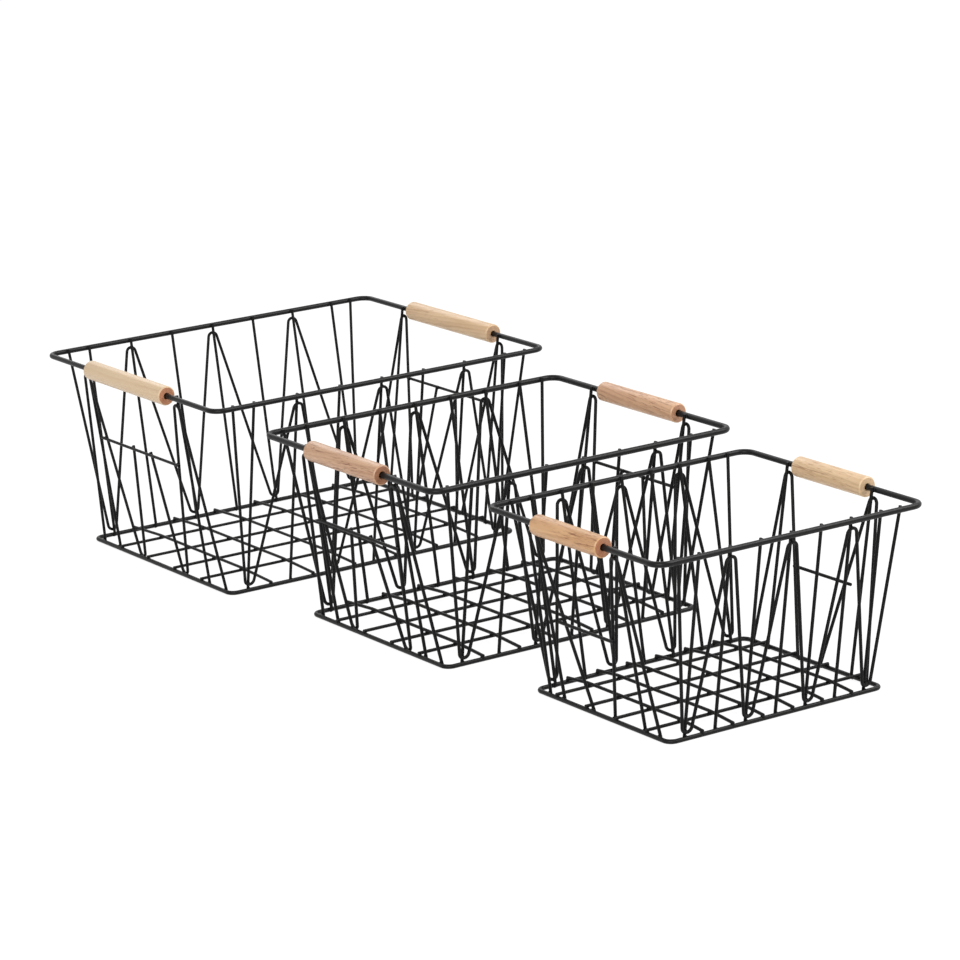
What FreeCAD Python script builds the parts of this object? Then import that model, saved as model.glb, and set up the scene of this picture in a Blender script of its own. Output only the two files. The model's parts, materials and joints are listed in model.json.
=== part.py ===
import FreeCAD, Part
import math
import os
import re
from collections import namedtuple

import Sketcher

# A set of three wire baskets of one design in graded sizes, with a wooden grip at each end.
# X runs along the baskets' long sides, Y along the row (small in front, large at the back),
# Z up. The origin is on the floor under the middle of the row.

SIZES = ("large", "medium", "small")

# Dimensions in millimetres. Those that name no basket are shared by all three.
DIMENSIONS = (
    ("base_wire", 4.2, "base frame wire, diameter"),
    ("rim_corner", 12, "rim corner, on the wire's centre"),
    ("base_corner", 8, "base frame corner, on the wire's centre"),
    ("weld_depth", 0.15, "how deep two wires sink into each other where they are welded"),
    ("grid_depth", 0.3, "how deep the base grid's wires are pressed into each other and the frame"),
    ("bend_radius", 5, "bends of the zigzags and hairpins, on the wire's centre"),
    ("peak_gap", 7.5, "from the top of a bend up to the rim, centre to centre"),
    ("valley_gap", 5.5, "from the bottom of a bend down to the base frame, centre to centre"),
    ("wire_top", 1.8, "wall wires, ends above the rim's centre"),
    ("wire_foot", 1.2, "wall wires, ends below the base frame's centre"),
    ("grid_bend", 40, "bend where a cross base wire starts to slope down to the frame"),
    ("grid_tail", 1.2, "base grid, ends past the base frame's centre"),
    ("foot_sink", 0.4, "bottom of a hairpin's turn at the base frame, below the frame's centre"),
    ("bar_tail", 5, "hand bar, ends past the hairpins' legs"),
    ("stay_tail", 1.9, "stays, ends above the hand bar"),
    ("grip_diameter", 19, "wooden grip, outside"),
    ("bore_gap", 0.4, "wooden grip, free space between its bore and the rim wire"),
    ("grip_chamfer", 1.2, "wooden grip, bevel round each end"),
    ("row_gap", 50, "free space between one rim and the next, centre to centre"),
    ("large_rim_wire", 5.1, "large: rim wire, diameter"),
    ("large_mesh_wire", 2.9, "large: wire of the walls and the base grid, diameter"),
    ("large_rim_length", 384, "large: rim along X, centre to centre"),
    ("large_rim_width", 327, "large: rim along Y, centre to centre"),
    ("large_rim_height", 193, "large: rim's centre above the floor"),
    ("large_base_length", 334, "large: base frame along X, centre to centre"),
    ("large_base_width", 267, "large: base frame along Y, centre to centre"),
    ("large_upright_inset", 21, "large: first upright, from the base frame's end"),
    ("large_long_inset", 55.5, "large: first long base wire, from the base frame's side"),
    ("large_zigzag_inset", 22, "large: end of a zigzag, from the rim's end"),
    ("large_outer_inset", 14.5, "large: hairpin's outer foot, from the base frame's side"),
    ("large_inner_foot", 46.6, "large: foot of a hairpin's inner leg, from the end wall's middle"),
    ("large_bar_height", 121, "large: hand bar above the base frame, along the wall"),
    ("large_grip_length", 148, "large: wooden grip, end to end"),
    ("large_post_gap", 13.5, "large: from the end of a grip to the post beside it"),
    ("large_stay_top", 16.8, "large: stay on the hand bar, from the end wall's middle"),
    ("medium_rim_wire", 5.8, "medium: rim wire, diameter"),
    ("medium_mesh_wire", 3.2, "medium: wire of the walls and the base grid, diameter"),
    ("medium_rim_length", 336, "medium: rim along X, centre to centre"),
    ("medium_rim_width", 284, "medium: rim along Y, centre to centre"),
    ("medium_rim_height", 177, "medium: rim's centre above the floor"),
    ("medium_base_length", 284, "medium: base frame along X, centre to centre"),
    ("medium_base_width", 227, "medium: base frame along Y, centre to centre"),
    ("medium_upright_inset", 19, "medium: first upright, from the base frame's end"),
    ("medium_long_inset", 44.5, "medium: first long base wire, from the base frame's side"),
    ("medium_zigzag_inset", 18, "medium: end of a zigzag, from the rim's end"),
    ("medium_outer_inset", 13, "medium: hairpin's outer foot, from the base frame's side"),
    ("medium_inner_foot", 50, "medium: foot of a hairpin's inner leg, from the end wall's middle"),
    ("medium_bar_height", 106, "medium: hand bar above the base frame, along the wall"),
    ("medium_grip_length", 120, "medium: wooden grip, end to end"),
    ("medium_post_gap", 14.5, "medium: from the end of a grip to the post beside it"),
    ("medium_stay_top", 16.3, "medium: stay on the hand bar, from the end wall's middle"),
    ("small_rim_wire", 5.4, "small: rim wire, diameter"),
    ("small_mesh_wire", 3.1, "small: wire of the walls and the base grid, diameter"),
    ("small_rim_length", 290, "small: rim along X, centre to centre"),
    ("small_rim_width", 251, "small: rim along Y, centre to centre"),
    ("small_rim_height", 170, "small: rim's centre above the floor"),
    ("small_base_length", 235, "small: base frame along X, centre to centre"),
    ("small_base_width", 196, "small: base frame along Y, centre to centre"),
    ("small_upright_inset", 18.5, "small: first upright, from the base frame's end"),
    ("small_long_inset", 32, "small: first long base wire, from the base frame's side"),
    ("small_zigzag_inset", 24, "small: end of a zigzag, from the rim's end"),
    ("small_outer_inset", 17, "small: hairpin's outer foot, from the base frame's side"),
    ("small_inner_foot", 15.4, "small: foot of a hairpin's inner leg, from the end wall's middle"),
    ("small_bar_height", 80, "small: hand bar above the base frame, along the wall"),
    ("small_grip_length", 97, "small: wooden grip, end to end"),
    ("small_post_gap", 11, "small: from the end of a grip to the post beside it"),
)

CROSS_COUNT = 6
LONG_COUNT = 4
UPRIGHT_COUNT = 7
LEFT_TURN = 1
RIGHT_TURN = -1

# Any small angle fixes the axis of a rotation before a formula sets its size.
AXIS_ANGLE = 1
# Two radii nearer than this are the same.
RADIUS_TOLERANCE = 1e-6

doc = FreeCAD.newDocument("WireBaskets")
sheet = doc.addObject("Spreadsheet::Sheet", "Dimensions")
aliases = set()


def write_dimension(alias, number, meaning):
    """Adds one row to the sheet: the meaning beside the number, which the alias names."""
    row = len(aliases) + 1
    sheet.set(f"A{row}", meaning)
    sheet.set(f"B{row}", str(number))
    sheet.setAlias(f"B{row}", alias)
    aliases.add(alias)


for alias, number, meaning in DIMENSIONS:
    write_dimension(alias, number, meaning)
doc.recompute()


def sized(size, formula):
    """Points the words of a formula at the sheet's cells for one basket."""

    def cell(match):
        word = match.group()
        if word in aliases:
            return f"Dimensions.{word}"
        return f"Dimensions.{size}_{word}"

    return re.sub(r"[a-z]+(_[a-z]+)+", cell, formula)


def value(size, formula):
    """The number that a formula gives for one basket, in millimetres or degrees."""
    result = sheet.evalExpression(sized(size, formula))
    return float(getattr(result, "Value", result))


def bind(item, name, size, formula):
    item.setExpression(name, sized(size, formula))


# Formulas. Wires are welded side by side, so their centres are a sum of radii apart.
RISE = "(rim_height - base_wire / 2)"
SIDE_RUN = "((rim_width - base_width) / 2)"
END_RUN = "((rim_length - base_length) / 2)"
RIM_TOUCH = "((rim_wire + mesh_wire) / 2 - weld_depth)"
BASE_TOUCH = "((base_wire + mesh_wire) / 2 - weld_depth)"
MESH_TOUCH = "(mesh_wire - weld_depth)"
LONG_LEVEL = "(base_wire + mesh_wire / 2 - grid_depth)"
CROSS_LEVEL = f"({LONG_LEVEL} + mesh_wire - grid_depth)"
WIRE_PITCH = f"((base_length - 2 * upright_inset) / {UPRIGHT_COUNT - 1})"
LONG_PITCH = f"((base_width - 2 * long_inset) / {LONG_COUNT - 1})"
ZIGZAG_END = "(rim_length / 2 - zigzag_inset)"
POST_PLACE = "(grip_length / 2 + post_gap)"
OUTER_FOOT = "(base_width / 2 - outer_inset)"
GRIP_BORE = "(rim_wire + 2 * bore_gap)"
RIMS = "(large_rim_width + medium_rim_width + small_rim_width)"
ROW = f"({RIMS} + 2 * row_gap + (large_rim_wire + small_rim_wire) / 2)"
PLACES = {
    "large": f"({ROW} - large_rim_width - large_rim_wire) / 2",
    "medium": f"(small_rim_width + row_gap + (medium_rim_width + small_rim_wire - {ROW}) / 2)",
    "small": f"(small_rim_width + small_rim_wire - {ROW}) / 2",
}


def wall_slope(run):
    """Length of a wall from the base frame's centre to the rim's centre, along the slope."""
    return f"sqrt({run}^2 + {RISE}^2)"


def wall_lean(run):
    """Lean of a straight wire that lies inside both the base frame and the rim."""
    return f"(atan2({run}; {RISE}) - asin(({RIM_TOUCH} - {BASE_TOUCH}) / {wall_slope(run)}))"


def wall_top(run):
    """Height of the rim's centre along such a wire, from the base frame's centre."""
    return f"sqrt({run}^2 + {RISE}^2 - ({RIM_TOUCH} - {BASE_TOUCH})^2)"


def bend_end(run):
    """Height of the top of a bend below the rim, along the wall."""
    return f"({wall_top(run)} - peak_gap)"


END_LEAN = wall_lean(END_RUN)
# A hairpin's feet are inside the base frame and its top is outside the post.
HAIRPIN_LEAN = f"({END_LEAN} + atan2({MESH_TOUCH}; {bend_end(END_RUN)}))"

# A wall has the plane of its sketches, the axis and sense of its lean, and where it stands.
Wall = namedtuple("Wall", "plane axis sense x y")
WALLS = {
    "front": Wall("XZ_Plane", FreeCAD.Vector(1, 0, 0), "", "0", "-base_width / 2"),
    "back": Wall("XZ_Plane", FreeCAD.Vector(1, 0, 0), "-", "0", "base_width / 2"),
    "left": Wall("YZ_Plane", FreeCAD.Vector(0, 1, 0), "-", "-base_length / 2", "0"),
    "right": Wall("YZ_Plane", FreeCAD.Vector(0, 1, 0), "", "base_length / 2", "0"),
}


def place(item, size, x, y, z):
    """Binds the place of a sub-part, given from the middle of its basket's footprint."""
    bind(item, "Placement.Base.x", size, x)
    bind(item, "Placement.Base.y", size, f"{y} + {PLACES[size]}")
    bind(item, "Placement.Base.z", size, z)


def place_on_wall(item, size, wall, lean):
    """Stands a sub-part on the base frame's centre line, leaning with its wall."""
    turned = FreeCAD.Rotation(WALLS[wall].axis, AXIS_ANGLE)
    item.Placement = FreeCAD.Placement(FreeCAD.Vector(), turned)
    bind(item, "Placement.Rotation.Angle", size, f"{WALLS[wall].sense}1 * {lean}")
    place(item, size, WALLS[wall].x, WALLS[wall].y, "base_wire / 2")


def new_body(label):
    body = doc.addObject("PartDesign::Body", label)
    body.Label = label
    return body


def origin_feature(body, role):
    return next(item for item in body.Origin.OriginFeatures if item.Role == role)


def new_sketch(body, name, plane, size, offset):
    sketch = body.newObject("Sketcher::SketchObject", f"{body.Label}_{name}")
    sketch.AttachmentSupport = (origin_feature(body, plane), [""])
    sketch.MapMode = "FlatFace"
    bind(sketch, "AttachmentOffset.Base.z", size, offset)
    return sketch


def wall_sketch(body, wall, size, depth):
    """Starts a wire's path on a wall, this deep inside the base frame's centre."""
    inward = "1" if WALLS[wall].sense else "-1"
    return new_sketch(body, "path", WALLS[wall].plane, size, f"{inward} * {depth}")


def measure(sketch, size, kind, formula, *points):
    """Adds a dimension that follows the sheet."""
    number = sketch.addConstraint(Sketcher.Constraint(kind, *points, value(size, formula)))
    bind(sketch, f"Constraints[{number}]", size, formula)


def measure_point(sketch, size, spot, geometry, end):
    """Fixes a point by its two distances from the sketch's origin."""
    across, up = spot
    measure(sketch, size, "DistanceX", across, -1, 1, geometry, end)
    measure(sketch, size, "DistanceY", up, -1, 1, geometry, end)


def tangent_runs(stops, closed=False):
    """Straight runs from stop to stop. A stop is a point and a signed radius, left turns positive."""
    following = stops[1:] + (stops[:1] if closed else [])
    runs = []
    for (start, start_radius), (finish, finish_radius) in zip(stops, following):
        way = finish - start
        heading = math.atan2(way.y, way.x) - math.asin((finish_radius - start_radius) / way.Length)
        left = FreeCAD.Vector(-math.sin(heading), math.cos(heading), 0)
        runs.append((start - left * start_radius, finish - left * finish_radius))
    return runs


def meeting_point(first, second):
    """Where two flat runs would meet if the bend between them were sharp."""
    way = first[1] - first[0]
    other = second[1] - second[0]
    share = (second[0] - first[0]).cross(other).z / way.cross(other).z
    return first[0] + way * share


def rounded_corner(before, corner, after, radius):
    """Start, middle and end of the arc that rounds a corner of a route in space."""
    back = (before - corner).normalize()
    ahead = (after - corner).normalize()
    half_angle = back.getAngle(ahead) / 2
    reach = radius / math.tan(half_angle)
    depth = radius / math.sin(half_angle) - radius
    middle = (back + ahead).normalize()
    return corner + back * reach, corner + middle * depth, corner + ahead * reach


def arc_between(centre, radius, turn, first, last):
    """Arc from the end of one run to the start of the next. Arcs always run anticlockwise."""
    ends = (first, last) if turn == LEFT_TURN else (last, first)
    angles = [math.atan2(point.y - centre.y, point.x - centre.x) for point in ends]
    circle = Part.Circle(centre, FreeCAD.Vector(0, 0, 1), radius)
    return Part.ArcOfCircle(circle, *angles)


def draw_path(sketch, size, ends=(), bends=(), radius="bend_radius"):
    """Draws a wire's path: straight runs and tangent arcs, closed if it has no ends.

    A bend is the formulas of its centre and its turn. An end is the formulas of its point.
    """
    closed = not ends
    stops = [(*ends[0], 0), *bends, (*ends[1], 0)] if ends else list(bends)
    size_of_bend = value(size, radius)
    spots = [
        (FreeCAD.Vector(value(size, across), value(size, up), 0), turn * size_of_bend)
        for across, up, turn in stops
    ]
    runs = tangent_runs(spots, closed)
    lines = []
    for number, (first, last) in enumerate(runs):
        lines.append(sketch.addGeometry(Part.LineSegment(first, last), False))
        after = (number + 1) % len(stops)
        across, up, turn = stops[after]
        if not turn:
            continue
        resume = runs[after % len(runs)][0]
        sketch.addGeometry(arc_between(spots[after][0], size_of_bend, turn, last, resume), False)
    for number, line in enumerate(lines):
        across, up, turn = stops[(number + 1) % len(stops)]
        if not turn:
            continue
        arc = line + 1
        entry, leave = (1, 2) if turn == LEFT_TURN else (2, 1)
        resume = lines[(number + 1) % len(lines)]
        sketch.addConstraint(Sketcher.Constraint("Tangent", line, 2, arc, entry))
        sketch.addConstraint(Sketcher.Constraint("Tangent", arc, leave, resume, 1))
        measure(sketch, size, "Radius", radius, arc)
        measure_point(sketch, size, (across, up), arc, 3)
    if ends:
        measure_point(sketch, size, ends[0], lines[0], 1)
        measure_point(sketch, size, ends[1], lines[-1], 2)


def add_wire(body, size, path, diameter):
    """Runs a round wire along a sketched path."""
    profile = body.newObject("Sketcher::SketchObject", f"{body.Label}_profile")
    profile.AttachmentSupport = (path, ["Edge1"])
    profile.MapMode = "NormalToEdge"
    circle = Part.Circle(FreeCAD.Vector(), FreeCAD.Vector(0, 0, 1), value(size, diameter) / 2)
    profile.addGeometry(circle, False)
    profile.addConstraint(Sketcher.Constraint("Coincident", 0, 3, -1, 1))
    measure(profile, size, "Diameter", diameter, 0)
    wire = body.newObject("PartDesign::AdditivePipe", f"{body.Label}_wire")
    wire.Profile = (profile, [""])
    edges = sum(not path.getConstruction(number) for number in range(path.GeometryCount))
    wire.Spine = (path, [f"Edge{number + 1}" for number in range(edges)])
    return wire


def repeat_wire(body, size, wire, axis, pitch, count):
    """Repeats a wire at even steps along one axis of its body."""
    pattern = body.newObject("PartDesign::LinearPattern", f"{body.Label}_row")
    pattern.Originals = [wire]
    pattern.Direction = (origin_feature(body, axis), [""])
    pattern.Mode = "Spacing"
    pattern.Occurrences = count
    bind(pattern, "Offset", size, pitch)
    body.Tip = pattern


def mirror_wire(body, wire):
    """Repeats a wire on the other side of an end wall's middle."""
    mirrored = body.newObject("PartDesign::Mirrored", f"{body.Label}_pair")
    mirrored.Originals = [wire]
    mirrored.MirrorPlane = (origin_feature(body, "XZ_Plane"), [""])
    body.Tip = mirrored


def first_place(pitch, count):
    """Place of the first wire of an even row about the middle."""
    return f"-{pitch} * {count - 1} / 2"


def make_loop(size, name, level):
    """The rim or the base frame: one wire bent to a rounded rectangle and closed."""
    body = new_body(f"{size}_{name}")
    family = name.split("_")[0]
    half_length = f"({family}_length / 2 - {family}_corner)"
    half_width = f"({family}_width / 2 - {family}_corner)"
    corners = (("-", "-"), ("", "-"), ("", ""), ("-", ""))
    bends = [(f"{x}1 * {half_length}", f"{y}1 * {half_width}", LEFT_TURN) for x, y in corners]
    path = new_sketch(body, "path", "XY_Plane", size, level)
    draw_path(path, size, (), bends, f"{family}_corner")
    add_wire(body, size, path, f"{family}_wire")
    place(body, size, "0", "0", "0")
    return body


def make_long_wires(size):
    """Straight wires along the base, on top of the base frame."""
    body = new_body(f"{size}_base_long_wires")
    row_start = first_place(LONG_PITCH, LONG_COUNT)
    path = new_sketch(body, "path", "XZ_Plane", size, f"-1 * ({row_start})")
    reach = "(base_length / 2 + grid_tail)"
    draw_path(path, size, ((f"-{reach}", LONG_LEVEL), (reach, LONG_LEVEL)))
    wire = add_wire(body, size, path, "mesh_wire")
    repeat_wire(body, size, wire, "Y_Axis", LONG_PITCH, LONG_COUNT)
    place(body, size, "0", "0", "0")
    return body


def make_cross_wires(size):
    """Wires across the base, on top of the long wires, sloping down to the frame at both ends."""
    body = new_body(f"{size}_base_cross_wires")
    path = new_sketch(body, "path", "YZ_Plane", size, first_place(WIRE_PITCH, CROSS_COUNT))
    reach = "(base_width / 2 + grid_tail)"
    last_long = "(base_width / 2 - long_inset)"
    bend_level = f"({CROSS_LEVEL} - grid_bend)"
    bends = [(f"-{last_long}", bend_level, RIGHT_TURN), (last_long, bend_level, RIGHT_TURN)]
    draw_path(path, size, ((f"-{reach}", LONG_LEVEL), (reach, LONG_LEVEL)), bends, "grid_bend")
    wire = add_wire(body, size, path, "mesh_wire")
    repeat_wire(body, size, wire, "X_Axis", WIRE_PITCH, CROSS_COUNT)
    place(body, size, "0", "0", "0")
    return body


def make_uprights(size, wall):
    """Straight uprights of a long wall, inside the base frame and the rim."""
    body = new_body(f"{size}_{wall}_uprights")
    path = wall_sketch(body, wall, size, BASE_TOUCH)
    across = first_place(WIRE_PITCH, UPRIGHT_COUNT)
    top = f"({wall_top(SIDE_RUN)} + wire_top)"
    draw_path(path, size, ((across, "-wire_foot"), (across, top)))
    wire = add_wire(body, size, path, "mesh_wire")
    repeat_wire(body, size, wire, "X_Axis", WIRE_PITCH, UPRIGHT_COUNT)
    place_on_wall(body, size, wall, wall_lean(SIDE_RUN))
    return body


def make_zigzag(size, wall):
    """One wire that zigzags outside the uprights of a long wall.

    Its bends lie flat on the uprights and its two ends lean in behind the rim, so its path
    isn't flat and is laid out here as edges.
    """
    label = f"{size}_{wall}_zigzag"
    pitch = value(size, WIRE_PITCH)
    radius = value(size, "bend_radius")
    top = value(size, wall_top(SIDE_RUN))
    low = value(size, "valley_gap + bend_radius")
    high = value(size, f"{bend_end(SIDE_RUN)} - bend_radius")
    inward = 1 if wall == "front" else -1
    rim_depth = inward * value(size, BASE_TOUCH)
    bend_depth = rim_depth - inward * value(size, MESH_TOUCH)
    end_place = value(size, ZIGZAG_END)
    end_height = top + value(size, "wire_top")

    bends = []
    for number in range(UPRIGHT_COUNT):
        valley = number % 2 == 0
        across = (number - (UPRIGHT_COUNT - 1) / 2) * pitch
        turn = LEFT_TURN if valley else RIGHT_TURN
        bends.append((FreeCAD.Vector(across, low if valley else high, 0), turn * radius))
    start = (FreeCAD.Vector(-end_place, end_height, 0), 0)
    finish = (FreeCAD.Vector(end_place, end_height, 0), 0)
    runs = tangent_runs([start, *bends, finish])
    corners = [meeting_point(*pair) for pair in zip(runs, runs[1:])]
    flat = [runs[0][0], *corners, runs[-1][1]]
    depths = [rim_depth] + [bend_depth] * len(corners) + [rim_depth]
    route = [FreeCAD.Vector(point.x, depth, point.y) for point, depth in zip(flat, depths)]

    edges = []
    reached = route[0]
    for before, corner, after in zip(route, route[1:], route[2:]):
        entry, tip, leave = rounded_corner(before, corner, after, radius)
        edges.append(Part.LineSegment(reached, entry).toShape())
        edges.append(Part.Arc(entry, tip, leave).toShape())
        reached = leave
    edges.append(Part.LineSegment(reached, route[-1]).toShape())
    path = doc.addObject("Part::Feature", f"{label}_path")
    path.Shape = Part.Wire(edges)

    profile = doc.addObject("Part::Circle", f"{label}_profile")
    bind(profile, "Radius", size, "mesh_wire / 2")
    way = edges[0].tangentAt(edges[0].FirstParameter)
    turned = FreeCAD.Rotation(FreeCAD.Vector(0, 0, 1), way)
    profile.Placement = FreeCAD.Placement(edges[0].firstVertex().Point, turned)

    sweep = doc.addObject("Part::Sweep", label)
    sweep.Label = label
    sweep.Sections = [profile]
    sweep.Spine = (path, [f"Edge{number + 1}" for number in range(len(edges))])
    sweep.Solid = True
    sweep.Transition = "Right corner"
    place_on_wall(sweep, size, wall, wall_lean(SIDE_RUN))
    return sweep


def make_posts(size, wall):
    """Two straight posts of an end wall, which carry the hairpin tops beside the grip."""
    body = new_body(f"{size}_{wall}_posts")
    path = wall_sketch(body, wall, size, BASE_TOUCH)
    top = f"({wall_top(END_RUN)} + wire_top)"
    draw_path(path, size, ((POST_PLACE, "-wire_foot"), (POST_PLACE, top)))
    mirror_wire(body, add_wire(body, size, path, "mesh_wire"))
    place_on_wall(body, size, wall, END_LEAN)
    return body


def make_hairpins(size, wall):
    """Two hairpins of an end wall, each bent over outside its post.

    Where the basket has stays, a hairpin's inner leg turns up again at the base frame and ends
    as a stay inside the hand bar.
    """
    body = new_body(f"{size}_{wall}_hairpins")
    path = wall_sketch(body, wall, size, BASE_TOUCH)
    bends = [(POST_PLACE, f"{bend_end(END_RUN)} - bend_radius", LEFT_TURN)]
    last = ("inner_foot", "-wire_foot")
    if f"{size}_stay_top" in aliases:
        bends.append(("inner_foot - bend_radius", "bend_radius - foot_sink", RIGHT_TURN))
        last = ("stay_top", "bar_height + stay_tail")
    draw_path(path, size, ((OUTER_FOOT, "-wire_foot"), last), bends)
    mirror_wire(body, add_wire(body, size, path, "mesh_wire"))
    place_on_wall(body, size, wall, HAIRPIN_LEAN)
    return body


def make_hand_bar(size, wall):
    """The bar under the hand hole, outside the hairpins' inner legs."""
    body = new_body(f"{size}_{wall}_hand_bar")
    path = wall_sketch(body, wall, size, f"({BASE_TOUCH} - {MESH_TOUCH})")
    leg_height = f"({bend_end(END_RUN)} - bend_radius)"
    leg_spread = f"({POST_PLACE} - bend_radius - inner_foot)"
    reach = f"(inner_foot + {leg_spread} * bar_height / {leg_height} + bar_tail)"
    draw_path(path, size, ((f"-{reach}", "bar_height"), (reach, "bar_height")))
    add_wire(body, size, path, "mesh_wire")
    place_on_wall(body, size, wall, HAIRPIN_LEAN)
    return body


def make_grip(size, wall):
    """A turned wooden grip that the rim's short side runs through."""
    body = new_body(f"{size}_{wall}_grip")
    ring = new_sketch(body, "ring", "XZ_Plane", size, "0")
    for number, diameter in enumerate(("grip_diameter", GRIP_BORE)):
        circle = Part.Circle(FreeCAD.Vector(), FreeCAD.Vector(0, 0, 1), value(size, diameter) / 2)
        ring.addGeometry(circle, False)
        ring.addConstraint(Sketcher.Constraint("Coincident", number, 3, -1, 1))
        measure(ring, size, "Diameter", diameter, number)
    dowel = body.newObject("PartDesign::Pad", f"{body.Label}_dowel")
    dowel.Profile = (ring, [""])
    dowel.SideType = "Symmetric"
    bind(dowel, "Length", size, "grip_length")
    doc.recompute()
    outside = value(size, "grip_diameter / 2")
    rounds = [
        f"Edge{number + 1}"
        for number, edge in enumerate(dowel.Shape.Edges)
        if isinstance(edge.Curve, Part.Circle)
        and abs(edge.Curve.Radius - outside) < RADIUS_TOLERANCE
    ]
    bevel = body.newObject("PartDesign::Chamfer", f"{body.Label}_bevel")
    bevel.Base = (dowel, rounds)
    bind(bevel, "Size", size, "grip_chamfer")
    side = "-" if wall == "left" else ""
    place(body, size, f"{side}rim_length / 2", "0", "rim_height")
    return body


def make_basket(size):
    nodes = [make_loop(size, "rim", "rim_height"), make_loop(size, "base_frame", "base_wire / 2")]
    nodes += [make_long_wires(size), make_cross_wires(size)]
    for wall in ("front", "back"):
        nodes += [make_uprights(size, wall), make_zigzag(size, wall)]
    for wall in ("left", "right"):
        nodes += [make_posts(size, wall), make_hairpins(size, wall)]
        nodes += [make_hand_bar(size, wall), make_grip(size, wall)]
    return nodes


nodes = [node for size in SIZES for node in make_basket(size)]
doc.recompute()

for item in doc.Objects:
    if "Invalid" in item.State or "Error" in item.State:
        raise RuntimeError(f"{item.Label} failed: {item.State}")
for node in nodes:
    if node.Shape.isNull() or not node.Shape.isValid():
        raise RuntimeError(f"{node.Label} has no valid shape")

os.makedirs("parts", exist_ok=True)
for node in nodes:
    node.Shape.exportStep(f"parts/{node.Label}.step")
    print(f"{node.Label}: {len(node.Shape.Solids)} solids, {node.Shape.Volume:.0f} mm3")
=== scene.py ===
# %% [markdown]
# # Three black wire baskets with wooden grips
# The set is three baskets of one design in graded sizes: bent and welded wire under a black
# powder coat, with a bored wooden dowel on each short side of the rim. The solid model already
# has every wire in its place, so this lesson loads it as a fixed frame and adds what a solid
# model lacks: finishes, weld beads, turned wood, light and a camera.

# %% Load the solid model
import itertools
import json
import math
import random
from collections import namedtuple

import bmesh
import bpy
from mathutils import Matrix, Vector
from mathutils.bvhtree import BVHTree
from mathutils.geometry import intersect_ray_tri


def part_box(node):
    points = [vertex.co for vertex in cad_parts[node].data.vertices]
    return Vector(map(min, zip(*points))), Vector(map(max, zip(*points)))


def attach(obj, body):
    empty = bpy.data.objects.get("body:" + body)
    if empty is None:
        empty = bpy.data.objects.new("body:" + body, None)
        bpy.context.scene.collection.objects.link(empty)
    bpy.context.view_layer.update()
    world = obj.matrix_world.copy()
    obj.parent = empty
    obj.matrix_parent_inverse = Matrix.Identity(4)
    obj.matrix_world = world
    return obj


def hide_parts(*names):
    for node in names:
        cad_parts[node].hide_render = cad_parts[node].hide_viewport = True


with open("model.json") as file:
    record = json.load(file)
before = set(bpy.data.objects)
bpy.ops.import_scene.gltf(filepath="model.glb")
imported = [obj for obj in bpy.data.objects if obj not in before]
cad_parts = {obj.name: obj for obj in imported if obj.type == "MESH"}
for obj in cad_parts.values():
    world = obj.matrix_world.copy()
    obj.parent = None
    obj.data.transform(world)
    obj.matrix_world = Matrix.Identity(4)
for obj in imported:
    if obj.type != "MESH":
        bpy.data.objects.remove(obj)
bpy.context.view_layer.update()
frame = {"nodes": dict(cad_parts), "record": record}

SIZES = ("large", "medium", "small")
MILLIMETRE = 0.001

# %% [markdown]
# ## Camera
# A product photograph like this one is taken with a long lens from a few metres away, so that
# parallel wires stay nearly parallel. The numbers below describe where a photographer would
# stand: how far round the row, how high, how far down the lens points and how much it is rolled.
# Turning the camera about Z, then X, then its own axis keeps each number readable.

# %% Place the camera
CAMERA_EYE = Vector((-2.1159, -3.1404, 1.132))
CAMERA_TURN = math.radians(-34.025)
CAMERA_DOWN = math.radians(14.928)
CAMERA_ROLL = math.radians(-2.193)
CAMERA_LENS = 155.1
SENSOR_WIDTH = 36.0
FARTHEST_SEEN = 50.0

lens = bpy.data.cameras.new("product_camera")
lens.sensor_fit = "HORIZONTAL"
lens.sensor_width = SENSOR_WIDTH
lens.lens = CAMERA_LENS
lens.clip_end = FARTHEST_SEEN
camera = bpy.data.objects.new("product_camera", lens)
aim = (
    Matrix.Rotation(CAMERA_TURN, 4, "Z")
    @ Matrix.Rotation(math.pi / 2 - CAMERA_DOWN, 4, "X")
    @ Matrix.Rotation(CAMERA_ROLL, 4, "Z")
)
camera.matrix_world = Matrix.Translation(CAMERA_EYE) @ aim
bpy.context.scene.collection.objects.link(camera)
bpy.context.scene.camera = camera
print("camera stands", round(CAMERA_EYE.length, 2), "m from the middle of the row")

# %% [markdown]
# ## White floor
# The photograph's background is plain white. Flooding the scene with light until the floor clips
# would wash out the wood, so the floor only looks white: part of its brightness is its own glow,
# which Light Path limits to what the camera, a glossy surface or glass sees, and the rest is
# reflected light, which is where the soft contact shadows come from. To all other rays the floor
# is a plain pale paint, which throws some light back up at the baskets. Like every finish here,
# it is a small graph of shader nodes, so the first cell makes adding a node one short call.


# %% Add shader nodes with one call
def add_node(tree, kind, inputs=None, **settings):
    """Adds a node. An input given another node's output is linked, one given a value is set."""
    node = tree.nodes.new(kind)
    for name, value in settings.items():
        setattr(node, name, value)
    for socket, value in (inputs or {}).items():
        if isinstance(value, bpy.types.NodeSocket):
            tree.links.new(value, node.inputs[socket])
        else:
            node.inputs[socket].default_value = value
    return node


def calc(tree, operation, first, second=0.0):
    """One step of arithmetic on plain numbers or on what other nodes put out."""
    return add_node(tree, "ShaderNodeMath", {0: first, 1: second}, operation=operation).outputs[0]


def seen_directly(tree):
    """1 for rays from the camera, mirrors or glass, 0 for rays that carry light."""
    path = add_node(tree, "ShaderNodeLightPath").outputs
    camera_or_gloss = calc(tree, "MAXIMUM", path["Is Camera Ray"], path["Is Glossy Ray"])
    return calc(tree, "MAXIMUM", camera_or_gloss, path["Is Transmission Ray"])


print("node helpers:", ", ".join(helper.__name__ for helper in (add_node, calc, seen_directly)))

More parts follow.
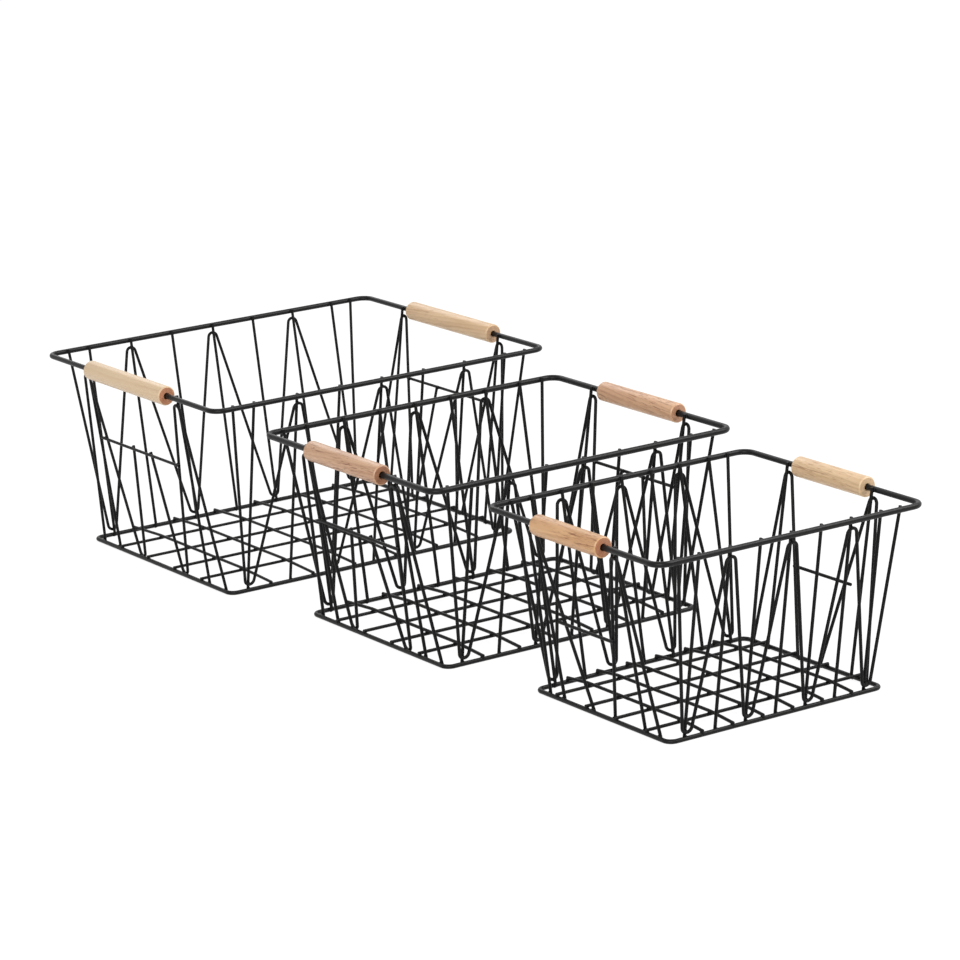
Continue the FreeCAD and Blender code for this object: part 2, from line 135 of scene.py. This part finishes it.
# %% Lay the floor
FLOOR_SIZE = 40.0
FLOOR_GLOW = 0.9
FLOOR_REFLECTS = 0.16
FLOOR_THROWS_BACK = 0.8


def grey(level):
    return (level, level, level, 1.0)


def make_floor_paint():
    paint = bpy.data.materials.new("white_floor")
    paint.use_nodes = True
    tree = paint.node_tree
    tree.nodes.clear()
    matt = add_node(tree, "ShaderNodeBsdfDiffuse", {"Color": grey(FLOOR_REFLECTS)})
    glow = add_node(tree, "ShaderNodeEmission", {"Strength": FLOOR_GLOW})
    bright = add_node(tree, "ShaderNodeAddShader", {0: matt.outputs[0], 1: glow.outputs[0]})
    pale = add_node(tree, "ShaderNodeBsdfDiffuse", {"Color": grey(FLOOR_THROWS_BACK)})
    choice = add_node(
        tree, "ShaderNodeMixShader",
        {"Fac": seen_directly(tree), 1: pale.outputs[0], 2: bright.outputs[0]},
    )
    add_node(tree, "ShaderNodeOutputMaterial", {"Surface": choice.outputs[0]})
    return paint


def make_floor():
    half = FLOOR_SIZE / 2
    corners = [(-half, -half, 0), (half, -half, 0), (half, half, 0), (-half, half, 0)]
    mesh = bpy.data.meshes.new("floor")
    mesh.from_pydata(corners, [], [(0, 1, 2, 3)])
    mesh.materials.append(make_floor_paint())
    floor = bpy.data.objects.new("floor", mesh)
    bpy.context.scene.collection.objects.link(floor)
    return floor


make_floor()
print("floor is", FLOOR_SIZE, "m wide")

# %% [markdown]
# ## Light
# A pale room lights the wood evenly from all sides, and where it is seen it is as white as the
# floor. A round wire shows a bright line only where it mirrors a lamp, so the lamp overhead
# stands to the right: from there its line falls on the long wires. A small lamp behind does the
# same for what runs the other way, the short wires and the wooden grips, and a wide one at the
# front fills the shade. Area lamps are used because their mirrored shape is broad and soft.

# %% Pale room
ROOM_LIGHT = 0.74
ROOM_SEEN = 1.0


def make_room():
    world = bpy.data.worlds.new("light_tent")
    bpy.context.scene.world = world
    world.use_nodes = True
    tree = world.node_tree
    tree.nodes.clear()
    lit, seen = (
        add_node(tree, "ShaderNodeBackground", {"Color": grey(1.0), "Strength": strength})
        for strength in (ROOM_LIGHT, ROOM_SEEN)
    )
    choice = add_node(
        tree, "ShaderNodeMixShader",
        {"Fac": seen_directly(tree), 1: lit.outputs[0], 2: seen.outputs[0]},
    )
    add_node(tree, "ShaderNodeOutputWorld", {"Surface": choice.outputs[0]})


make_room()
bpy.context.scene.view_settings.view_transform = "Standard"
print("room lights at", ROOM_LIGHT, "and shows at", ROOM_SEEN)

# %% Soft lamps
# Places and widths are in metres.
Lamp = namedtuple("Lamp", "place width watts")
LAMPS = {
    "overhead_lamp": Lamp((1.25, -1.05, 1.75), 1.3, 28),
    "front_lamp": Lamp((-1.9, -2.2, 1.2), 1.6, 34),
    "back_lamp": Lamp((0.68, 2.1, 1.5), 1.0, 6),
}
LAMP_TARGET = Vector((0, 0, 0.1))

for name, lamp in LAMPS.items():
    light = bpy.data.lights.new(name, "AREA")
    light.shape = "SQUARE"
    light.size = lamp.width
    light.energy = lamp.watts
    stand = bpy.data.objects.new(name, light)
    stand.location = lamp.place
    way = LAMP_TARGET - stand.location
    stand.rotation_euler = way.to_track_quat("-Z", "Y").to_euler()
    bpy.context.scene.collection.objects.link(stand)
    print(name, "shines from", round(way.length, 2), "m away")

# %% [markdown]
# ## Powder coat
# The wires are dusted with dry powder and baked. The skin is nearly black with a satin sheen, and
# close up it has the fine dimples called orange peel and slightly uneven gloss. A flat black would
# hide all of that, so one node group makes the dimples, the gloss and the small drift in tone.
# Each coat places it with its own values: thick wire shows wider dimples and more sheen than the
# thin wires of the walls and the base.


# %% Helpers for node groups
def new_group(name, inputs, outputs):
    """Starts a node group with named sockets and returns its tree, its inlet and its outlet."""
    tree = bpy.data.node_groups.new(name, "ShaderNodeTree")
    for way, sockets in (("INPUT", inputs), ("OUTPUT", outputs)):
        for socket, kind in sockets.items():
            tree.interface.new_socket(name=socket, in_out=way, socket_type=f"NodeSocket{kind}")
    return tree, tree.nodes.new("NodeGroupInput"), tree.nodes.new("NodeGroupOutput")


def add_noise(tree, place, steps, detail, roughness):
    """Cloudy values about 0.5, with this many steps for each unit of place."""
    inputs = {"Vector": place, "Scale": steps, "Detail": detail, "Roughness": roughness}
    return add_node(tree, "ShaderNodeTexNoise", inputs).outputs["Fac"]


def add_ramp(tree, value, start, end, low=0.0, high=1.0, ease="LINEAR"):
    """Goes from low to high while a value goes from start to end, and holds still outside."""
    inputs = {"Value": value, "From Min": start, "From Max": end, "To Min": low, "To Max": high}
    return add_node(tree, "ShaderNodeMapRange", inputs, interpolation_type=ease).outputs["Result"]


def mix_colours(tree, share, first, second):
    """Blends two colours by a share. Only the mix node's enabled sockets are for colours."""
    node = add_node(tree, "ShaderNodeMix", data_type="RGBA")
    enabled = {socket.name: socket for socket in node.inputs if socket.enabled}
    for name, value in (("Factor", share), ("A", first), ("B", second)):
        tree.links.new(value, enabled[name])
    return next(socket for socket in node.outputs if socket.enabled)


FINISH = {"Colour": "Color", "Roughness": "Float", "Height": "Float"}
print("a finish's group puts out:", ", ".join(FINISH))

# %% Orange peel node group
DRIFTS_PER_METRE = 55.0
LEAST_ROUGHNESS_DRIFT = -0.05
MOST_ROUGHNESS_DRIFT = 0.06


def make_orange_peel():
    tree, inlet, outlet = new_group(
        "orange_peel",
        {
            "Place": "Vector",
            "Dimples per metre": "Float",
            "Deep colour": "Color",
            "Thin colour": "Color",
            "Mean roughness": "Float",
        },
        FINISH,
    )
    given = inlet.outputs
    place = given["Place"]
    dimples = add_noise(tree, place, given["Dimples per metre"], detail=2.0, roughness=0.5)
    drift = add_noise(tree, place, DRIFTS_PER_METRE, detail=3.0, roughness=0.6)
    thin_share = add_ramp(tree, drift, start=0.35, end=0.7)
    colour = mix_colours(tree, thin_share, given["Deep colour"], given["Thin colour"])
    swing = add_ramp(
        tree, drift, start=0.3, end=0.7, low=LEAST_ROUGHNESS_DRIFT, high=MOST_ROUGHNESS_DRIFT
    )
    tree.links.new(colour, outlet.inputs["Colour"])
    tree.links.new(calc(tree, "ADD", given["Mean roughness"], swing), outlet.inputs["Roughness"])
    tree.links.new(dimples, outlet.inputs["Height"])
    return tree


ORANGE_PEEL = make_orange_peel()
print("orange peel group has", len(ORANGE_PEEL.nodes), "nodes")


# %% Make a material from a node group
def new_finish(name, group, values, shine, strength, depth):
    """A material whose colour, roughness and relief come from a node group with these values."""
    material = bpy.data.materials.new(name)
    material.use_nodes = True
    tree = material.node_tree
    surface = tree.nodes["Principled BSDF"].inputs
    surface["Specular IOR Level"].default_value = shine
    place = add_node(tree, "ShaderNodeTexCoord").outputs["Object"]
    made = add_node(tree, "ShaderNodeGroup", {"Place": place, **values}, node_tree=group).outputs
    relief = add_node(
        tree, "ShaderNodeBump", {"Strength": strength, "Distance": depth, "Height": made["Height"]}
    )
    tree.links.new(made["Colour"], surface["Base Color"])
    tree.links.new(made["Roughness"], surface["Roughness"])
    tree.links.new(relief.outputs["Normal"], surface["Normal"])
    return material


print("a new finish joins a group to a shader with", len(FINISH), "links")


# %% Mix the coats
def screen_colour(red, green, blue):
    """A colour written as on a screen, from 0 to 255, in the linear light that shaders use."""
    channels = []
    for part in (red / 255, green / 255, blue / 255):
        channels.append(part / 12.92 if part <= 0.04045 else ((part + 0.055) / 1.055) ** 2.4)
    return (*channels, 1.0)


# Dimples are counted per metre, and their depth is in metres.
Coat = namedtuple("Coat", "dimples depth roughness shine")
COATS = {
    "rim": Coat(900.0, 0.12 * MILLIMETRE, 0.36, 0.22),
    "frame": Coat(1050.0, 0.10 * MILLIMETRE, 0.38, 0.20),
    "mesh": Coat(1300.0, 0.08 * MILLIMETRE, 0.40, 0.14),
}
COAT_DEEP = screen_colour(8, 7, 7)
COAT_THIN = screen_colour(15, 14, 14)
DIMPLE_STRENGTH = 0.5
powder_coats = {}
for name, coat in COATS.items():
    peel = {
        "Dimples per metre": coat.dimples,
        "Deep colour": COAT_DEEP,
        "Thin colour": COAT_THIN,
        "Mean roughness": coat.roughness,
    }
    powder_coats[name] = new_finish(
        f"{name}_powder_coat", ORANGE_PEEL, peel, coat.shine, DIMPLE_STRENGTH, coat.depth
    )
print("coats:", [coat.name for coat in powder_coats.values()])

# %% Coat every wire
ENDS = ("left", "right")
WOODEN = [f"{size}_{end}_grip" for size in SIZES for end in ENDS]
for name, wire in frame["nodes"].items():
    if name in WOODEN:
        continue
    coat = "mesh"
    if name.endswith("_rim"):
        coat = "rim"
    elif name.endswith("_base_frame"):
        coat = "frame"
    wire.data.materials.clear()
    wire.data.materials.append(powder_coats[coat])
print("coated", len(frame["nodes"]) - len(WOODEN), "nodes of wire")

# %% [markdown]
# ## Weld beads
# Each crossing is a resistance weld: a small squeezed nugget that the coat rounds off. Typing in
# several hundred places would be slow and would go stale when a size changes. The solid wires
# sink a little into each other at every weld, so the places can be found instead: the triangles
# of two wires that cut each other lie at a weld, and the middle of their cuts is its centre. A
# flattened ball there, wide across the joint and thin through it, looks like the real nugget.

# %% Find where two wires meet
WELD_SPREAD = 4.0 * MILLIMETRE


class WireSkin:
    """The triangles of one node of wire, ready to be tested against another node's."""

    def __init__(self, name):
        mesh = frame["nodes"][name].data
        mesh.calc_loop_triangles()
        self.name = name
        self.points = [vertex.co.copy() for vertex in mesh.vertices]
        self.faces = [tuple(face.vertices) for face in mesh.loop_triangles]
        self.normals = [Vector(face.normal) for face in mesh.loop_triangles]
        self.tree = BVHTree.FromPolygons(self.points, self.faces)

    def corners(self, number):
        return [self.points[corner] for corner in self.faces[number]]


def edge_cuts(edges_of, through):
    """Points where the edges of one triangle pass through another."""
    cuts = []
    for start, end in zip(edges_of, edges_of[1:] + edges_of[:1]):
        way = end - start
        hit = intersect_ray_tri(*through, way, start, True)
        if hit is not None and 0 <= (hit - start).dot(way) <= way.length_squared:
            cuts.append(hit)
    return cuts


def find_welds(first, second):
    """The welds between two nodes: for each a point, and the way through the joint."""
    spots = []
    for own, other in first.tree.overlap(second.tree):
        mine, theirs = first.corners(own), second.corners(other)
        facing = first.normals[own] - second.normals[other]
        for cut in edge_cuts(mine, theirs) + edge_cuts(theirs, mine):
            for spot in spots:
                if (spot[0] / spot[2] - cut).length < WELD_SPREAD:
                    spot[0] += cut
                    spot[1] += facing
                    spot[2] += 1
                    break
            else:
                spots.append([cut.copy(), facing.copy(), 1])
    return [(total / count, facing.normalized()) for total, facing, count in spots]


sample = find_welds(WireSkin("large_rim"), WireSkin("large_front_uprights"))
print("the large rim holds its front uprights by", len(sample), "welds")

# %% Shape the beads
BEAD_WIDTHS = {"rim": 2.3 * MILLIMETRE, "base_frame": 2.15 * MILLIMETRE}
THIN_WIRE_BEAD = 1.95 * MILLIMETRE
BEAD_THICKNESS_SHARE = 0.52
BEAD_VARIATION_SHARE = 0.08
BEAD_SUBDIVISIONS = 3
BEAD_SEED = 11
dice = random.Random(BEAD_SEED)


def bead_width(*names):
    for ending, width in BEAD_WIDTHS.items():
        if any(name.endswith(ending) for name in names):
            return width
    return THIN_WIRE_BEAD


def bead_place(spot, through, width):
    """Lays a ball of radius 1 at a weld, squeezed along the way through the joint."""
    wide = width * (1 + dice.uniform(-BEAD_VARIATION_SHARE, BEAD_VARIATION_SHARE))
    lay = through.to_track_quat("Z", "Y").to_matrix().to_4x4()
    squeeze = Matrix.Diagonal((wide, wide, width * BEAD_THICKNESS_SHARE, 1.0))
    return Matrix.Translation(spot) @ lay @ squeeze


def make_beads(size):
    """One piece with every weld bead of a basket."""
    skins = [WireSkin(name) for name in frame["record"]["behaviour"]["bodies"][f"{size}_basket"]]
    build = bmesh.new()
    count = 0
    for first, second in itertools.combinations(skins, 2):
        width = bead_width(first.name, second.name)
        for spot, through in find_welds(first, second):
            bmesh.ops.create_icosphere(
                build, subdivisions=BEAD_SUBDIVISIONS, radius=1.0,
                matrix=bead_place(spot, through, width),
            )
            count += 1
    for face in build.faces:
        face.smooth = True
    mesh = bpy.data.meshes.new(f"{size}_weld_beads")
    build.to_mesh(mesh)
    build.free()
    mesh.materials.append(powder_coats["mesh"])
    beads = bpy.data.objects.new(f"{size}_weld_beads", mesh)
    bpy.context.scene.collection.objects.link(beads)
    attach(beads, f"{size}_basket")
    print(size, "basket has", count, "weld beads")


for size in SIZES:
    make_beads(size)

# %% [markdown]
# ## Wood grain
# The grips are turned from a pale, even wood such as beech. A plank grows in layers; a dowel cut
# from it shows those layers as long stripes on its side and as lines on its ends, with short dark
# flecks along the fibre. Building the layers as flat sheets in space, bent a little by noise,
# gives stripes, arches and end lines that agree with each other, which a picture wrapped round
# the dowel wouldn't. All grips share the node group and differ in tint, in how the layers lie,
# in how far the fibres slope from the dowel's axis, in how strong the flecks are and in which
# stretch of the plank they come from. The cells build the group in the order in which a plank is
# read: its place, its layers and streaks, its flecks, then its colour and its feel.

# %% Start the dowel grain group
GRAIN, grain_inlet, grain_outlet = new_group(
    "dowel_grain",
    {
        "Place": "Vector",
        "Plank offset": "Vector",
        "Layer lean": "Float",
        "Grain slope": "Float",
        "Fleck share": "Float",
        "Bevel start": "Float",
        "Pale": "Color",
        "Streak": "Color",
        "Fleck": "Color",
        "Bevel": "Color",
    },
    FINISH,
)
given = grain_inlet.outputs
print("grain group takes in:", ", ".join(socket.name for socket in given if socket.name))


# %% Lay the plank and its fibres
def plus(first, second):
    return calc(GRAIN, "ADD", first, second)


def minus(first, second):
    return calc(GRAIN, "SUBTRACT", first, second)


def times(first, second):
    return calc(GRAIN, "MULTIPLY", first, second)


def soft_step(value, start, end):
    """0 below the start, 1 above the end, with a soft step between."""
    return add_ramp(GRAIN, value, start, end, ease="SMOOTHSTEP")


sloped = add_node(
    GRAIN, "ShaderNodeVectorRotate", {"Vector": given["Place"], "Angle": given["Grain slope"]},
    rotation_type="X_AXIS",
)
plank = add_node(
    GRAIN, "ShaderNodeVectorMath", {0: sloped.outputs[0], 1: given["Plank offset"]}, operation="ADD"
).outputs[0]


def fibres(across, along, detail, roughness):
    """Noise drawn out along the dowel, this many steps a metre each way."""
    steps = (across, along, across)
    drawn_out = add_node(GRAIN, "ShaderNodeVectorMath", {0: plank, 1: steps}, operation="MULTIPLY")
    return add_noise(GRAIN, drawn_out.outputs[0], 1.0, detail, roughness)


print("plank laid with", len(GRAIN.nodes), "nodes")

# %% Layers and streaks
LAYERS_PER_METRE = 260.0
LAYER_WARP = 6.0 * MILLIMETRE
LATE_WOOD_SHARE = 0.42
BROAD_STREAK_SHARE = 0.45
FINE_STREAK_SHARE = 0.5
NOISE_MIDDLE = 0.5

leaned = add_node(
    GRAIN, "ShaderNodeVectorRotate", {"Vector": plank, "Angle": given["Layer lean"]},
    rotation_type="Y_AXIS",
)
through_layers = add_node(
    GRAIN, "ShaderNodeSeparateXYZ", {"Vector": leaned.outputs[0]}
).outputs["X"]
bend = minus(fibres(across=45.0, along=9.0, detail=2.0, roughness=0.5), NOISE_MIDDLE)
warped = plus(through_layers, times(bend, LAYER_WARP))
layer = calc(GRAIN, "FRACT", times(warped, LAYERS_PER_METRE))
darkens = soft_step(layer, start=0.25, end=0.92)
stops = soft_step(layer, start=0.94, end=1.0)
late_wood = times(darkens, minus(1.0, stops))
bands = fibres(across=110.0, along=7.0, detail=3.0, roughness=0.6)
broad = soft_step(bands, start=0.3, end=0.72)
fine = fibres(across=1500.0, along=40.0, detail=3.0, roughness=0.6)
streaks = plus(times(late_wood, LATE_WOOD_SHARE), times(broad, BROAD_STREAK_SHARE))
streaks = plus(streaks, times(minus(fine, NOISE_MIDDLE), FINE_STREAK_SHARE))
streak_share = add_node(GRAIN, "ShaderNodeClamp", {"Value": streaks}).outputs[0]
print("layers are", round(1 / LAYERS_PER_METRE / MILLIMETRE, 1), "mm thick")

# %% Flecks
SHORT_FLECK_SHARE = 0.7
SPARSE_FLECK_SHARE = 0.3

long_run = fibres(across=850.0, along=40.0, detail=2.0, roughness=0.55)
short_run = fibres(across=1500.0, along=140.0, detail=2.0, roughness=0.5)
long_flecks = soft_step(long_run, start=0.56, end=0.66)
short_flecks = soft_step(short_run, start=0.58, end=0.68)
flecks = calc(GRAIN, "MAXIMUM", long_flecks, times(short_flecks, SHORT_FLECK_SHARE))
crowding = fibres(across=70.0, along=12.0, detail=1.0, roughness=0.5)
dense = soft_step(crowding, start=0.42, end=0.58)
patches = plus(SPARSE_FLECK_SHARE, times(dense, 1 - SPARSE_FLECK_SHARE))
flecks = times(flecks, times(patches, given["Fleck share"]))
print("flecks keep", SPARSE_FLECK_SHARE, "of their strength between the dense patches")

# %% Colour, roughness and relief of the wood
BEVEL_SHARE = 0.5
BEVEL_FADE = (-0.2 * MILLIMETRE, 0.3 * MILLIMETRE)
LEAST_ROUGHNESS = 0.27
FINE_ROUGHNESS = 0.16
FLECK_ROUGHNESS = 0.1
FINE_HEIGHT = 0.5
FLECK_DEPTH = 0.8

lengthwise = add_node(GRAIN, "ShaderNodeSeparateXYZ", {"Vector": given["Place"]}).outputs["Y"]
past_bevel = minus(calc(GRAIN, "ABSOLUTE", lengthwise), given["Bevel start"])
bevel_share = times(soft_step(past_bevel, *BEVEL_FADE), BEVEL_SHARE)
colour = mix_colours(GRAIN, streak_share, given["Pale"], given["Streak"])
colour = mix_colours(GRAIN, flecks, colour, given["Fleck"])
colour = mix_colours(GRAIN, bevel_share, colour, given["Bevel"])
clear_roughness = plus(LEAST_ROUGHNESS, times(fine, FINE_ROUGHNESS))
roughness = plus(clear_roughness, times(flecks, FLECK_ROUGHNESS))
relief = minus(times(fine, FINE_HEIGHT), times(flecks, FLECK_DEPTH))
GRAIN.links.new(colour, grain_outlet.inputs["Colour"])
GRAIN.links.new(roughness, grain_outlet.inputs["Roughness"])
GRAIN.links.new(relief, grain_outlet.inputs["Height"])
print("grain group has", len(GRAIN.nodes), "nodes")

# %% [markdown]
# ## Turned grips
# A grip is a dowel bored from end to end and bevelled at both ends. A lathe makes it by spinning
# one outline, and so do these cells: they walk the outline from the bore over the end and bevel
# to the side, soften each corner as sanding does, and spin it. Modifiers could bevel a cylinder,
# but an outline keeps each face's place known, so the end grain can have its own finish.

# %% Draw the outline
BEVEL = 1.2 * MILLIMETRE
BORE_EASE = 0.4 * MILLIMETRE
SANDING = 0.175 * MILLIMETRE
CORNER_STEPS = 4


def sanded(outline):
    """Rounds every corner of a closed outline, from SANDING before it to SANDING after it."""
    eased = []
    for number, corner in enumerate(outline):
        before = outline[number - 1]
        after = outline[(number + 1) % len(outline)]
        start = corner + (before - corner).normalized() * SANDING
        end = corner + (after - corner).normalized() * SANDING
        for step in range(CORNER_STEPS + 1):
            share = step / CORNER_STEPS
            eased.append(start.lerp(corner, share).lerp(corner.lerp(end, share), share))
    return eased


def dowel_outline(bore, radius, half):
    """Half section of a grip as points of radius and length, round the wood once."""
    one_end = [
        Vector((bore, half - BORE_EASE)),
        Vector((bore + BORE_EASE, half)),
        Vector((radius - BEVEL, half)),
        Vector((radius, half - BEVEL)),
    ]
    other_end = [Vector((point.x, -point.y)) for point in reversed(one_end)]
    return sanded(one_end + other_end)


print("each corner of the outline is sanded in", CORNER_STEPS, "steps")

# %% Spin the outline
SPOKES = 80


def spin(name, outline, end_from, bored_to):
    """Spins a closed outline about Y. Faces past end_from or inside bored_to are end grain."""
    build = bmesh.new()
    rings = []
    for spoke in range(SPOKES):
        angle = 2 * math.pi * spoke / SPOKES
        rings.append([
            build.verts.new((point.x * math.cos(angle), point.y, point.x * math.sin(angle)))
            for point in outline
        ])
    for ring, following in zip(rings, rings[1:] + rings[:1]):
        for number in range(len(outline)):
            after = (number + 1) % len(outline)
            face = build.faces.new((ring[number], ring[after], following[after], following[number]))
            face.smooth = True
            middle = (outline[number] + outline[after]) / 2
            face.material_index = int(abs(middle.y) > end_from or middle.x < bored_to)
    bmesh.ops.recalc_face_normals(build, faces=build.faces)
    mesh = bpy.data.meshes.new(name)
    build.to_mesh(mesh)
    build.free()
    return mesh


print("the lathe has", SPOKES, "spokes, one every", 360 / SPOKES, "degrees")

# %% Choose the wood of each grip
# Tints of the pale ground, the streaks, the flecks and the end grain, then how the layers lean
# and the fibres slope, in radians, and how strong the flecks are.
Plank = namedtuple("Plank", "pale streak fleck end lean slope flecked")
GRIP_WOOD = {
    "large_left": Plank(
        (213, 186, 151), (203, 173, 136), (178, 143, 106), (180, 124, 92), 0.3, 0.05, 0.25),
    "large_right": Plank(
        (216, 184, 145), (191, 154, 113), (152, 110, 73), (182, 146, 112), 1.2, 0.09, 0.45),
    "medium_left": Plank(
        (197, 157, 124), (165, 120, 88), (122, 75, 50), (150, 104, 76), 2.0, 0.06, 0.95),
    "medium_right": Plank(
        (211, 169, 132), (178, 131, 98), (128, 80, 54), (178, 130, 98), 0.8, -0.08, 0.95),
    "small_left": Plank(
        (206, 163, 117), (170, 122, 80), (128, 77, 42), (172, 116, 84), 2.6, 0.05, 0.9),
    "small_right": Plank(
        (219, 188, 149), (194, 159, 121), (156, 115, 78), (202, 170, 132), 1.6, -0.04, 0.75),
}
PLANK_STEP = Vector((0.031, 0.47, 0.023))
BEVEL_SHADE = 6
END_STREAK_TONE = 0.8
END_FLECK_TONE = 0.5
END_FLECKED_SHARE = 0.5
WOOD_SHINE = 0.5
GRAIN_STRENGTH = 0.35
GRAIN_DEPTH = 0.12 * MILLIMETRE


def darkened(colour, tone):
    return tuple(part * tone for part in colour[:3]) + (1.0,)


def make_wood(number, place, half):
    """The finishes of one grip's side and end, cut from the same stretch of the plank."""
    wood = GRIP_WOOD[place]
    end = screen_colour(*wood.end)
    cut = {
        "Plank offset": PLANK_STEP * (number + 1),
        "Layer lean": wood.lean,
        "Grain slope": wood.slope,
    }
    side_values = {
        "Pale": screen_colour(*wood.pale),
        "Streak": screen_colour(*wood.streak),
        "Fleck": screen_colour(*wood.fleck),
        "Fleck share": wood.flecked,
        "Bevel": screen_colour(*(part - BEVEL_SHADE for part in wood.pale)),
        "Bevel start": half - BEVEL,
    }
    end_values = {
        "Pale": end,
        "Streak": darkened(end, END_STREAK_TONE),
        "Fleck": darkened(end, END_FLECK_TONE),
        "Fleck share": wood.flecked * END_FLECKED_SHARE,
        "Bevel start": half + BEVEL,
    }
    relief = {"strength": GRAIN_STRENGTH, "depth": GRAIN_DEPTH}
    return [
        new_finish(f"{place}_grip_{part}", GRAIN, {**cut, **values}, WOOD_SHINE, **relief)
        for part, values in (("side", side_values), ("end", end_values))
    ]


print("wood for", len(GRIP_WOOD), "grips")

# %% Turn the six grips
BORE_GAP = 0.4 * MILLIMETRE


def turn_grip(number, place):
    node = f"{place}_grip"
    size = place.split("_")[0]
    low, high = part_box(node)
    radius = (high.z - low.z) / 2
    half = (high.y - low.y) / 2
    rim_low, rim_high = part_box(f"{size}_rim")
    bore = (rim_high.z - rim_low.z) / 2 + BORE_GAP
    outline = dowel_outline(bore, radius, half)
    mesh = spin(f"{place}_turned_grip", outline, half - SANDING, bore + BORE_EASE)
    for finish in make_wood(number, place, half):
        mesh.materials.append(finish)
    grip = bpy.data.objects.new(f"{place}_turned_grip", mesh)
    grip.location = (low + high) / 2
    bpy.context.scene.collection.objects.link(grip)
    bpy.context.view_layer.update()
    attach(grip, node)
    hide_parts(node)
    thick, long = (round(2 * part / MILLIMETRE, 1) for part in (radius, half))
    print(place, "grip:", thick, "by", long, "mm")


for number, place in enumerate(GRIP_WOOD):
    turn_grip(number, place)
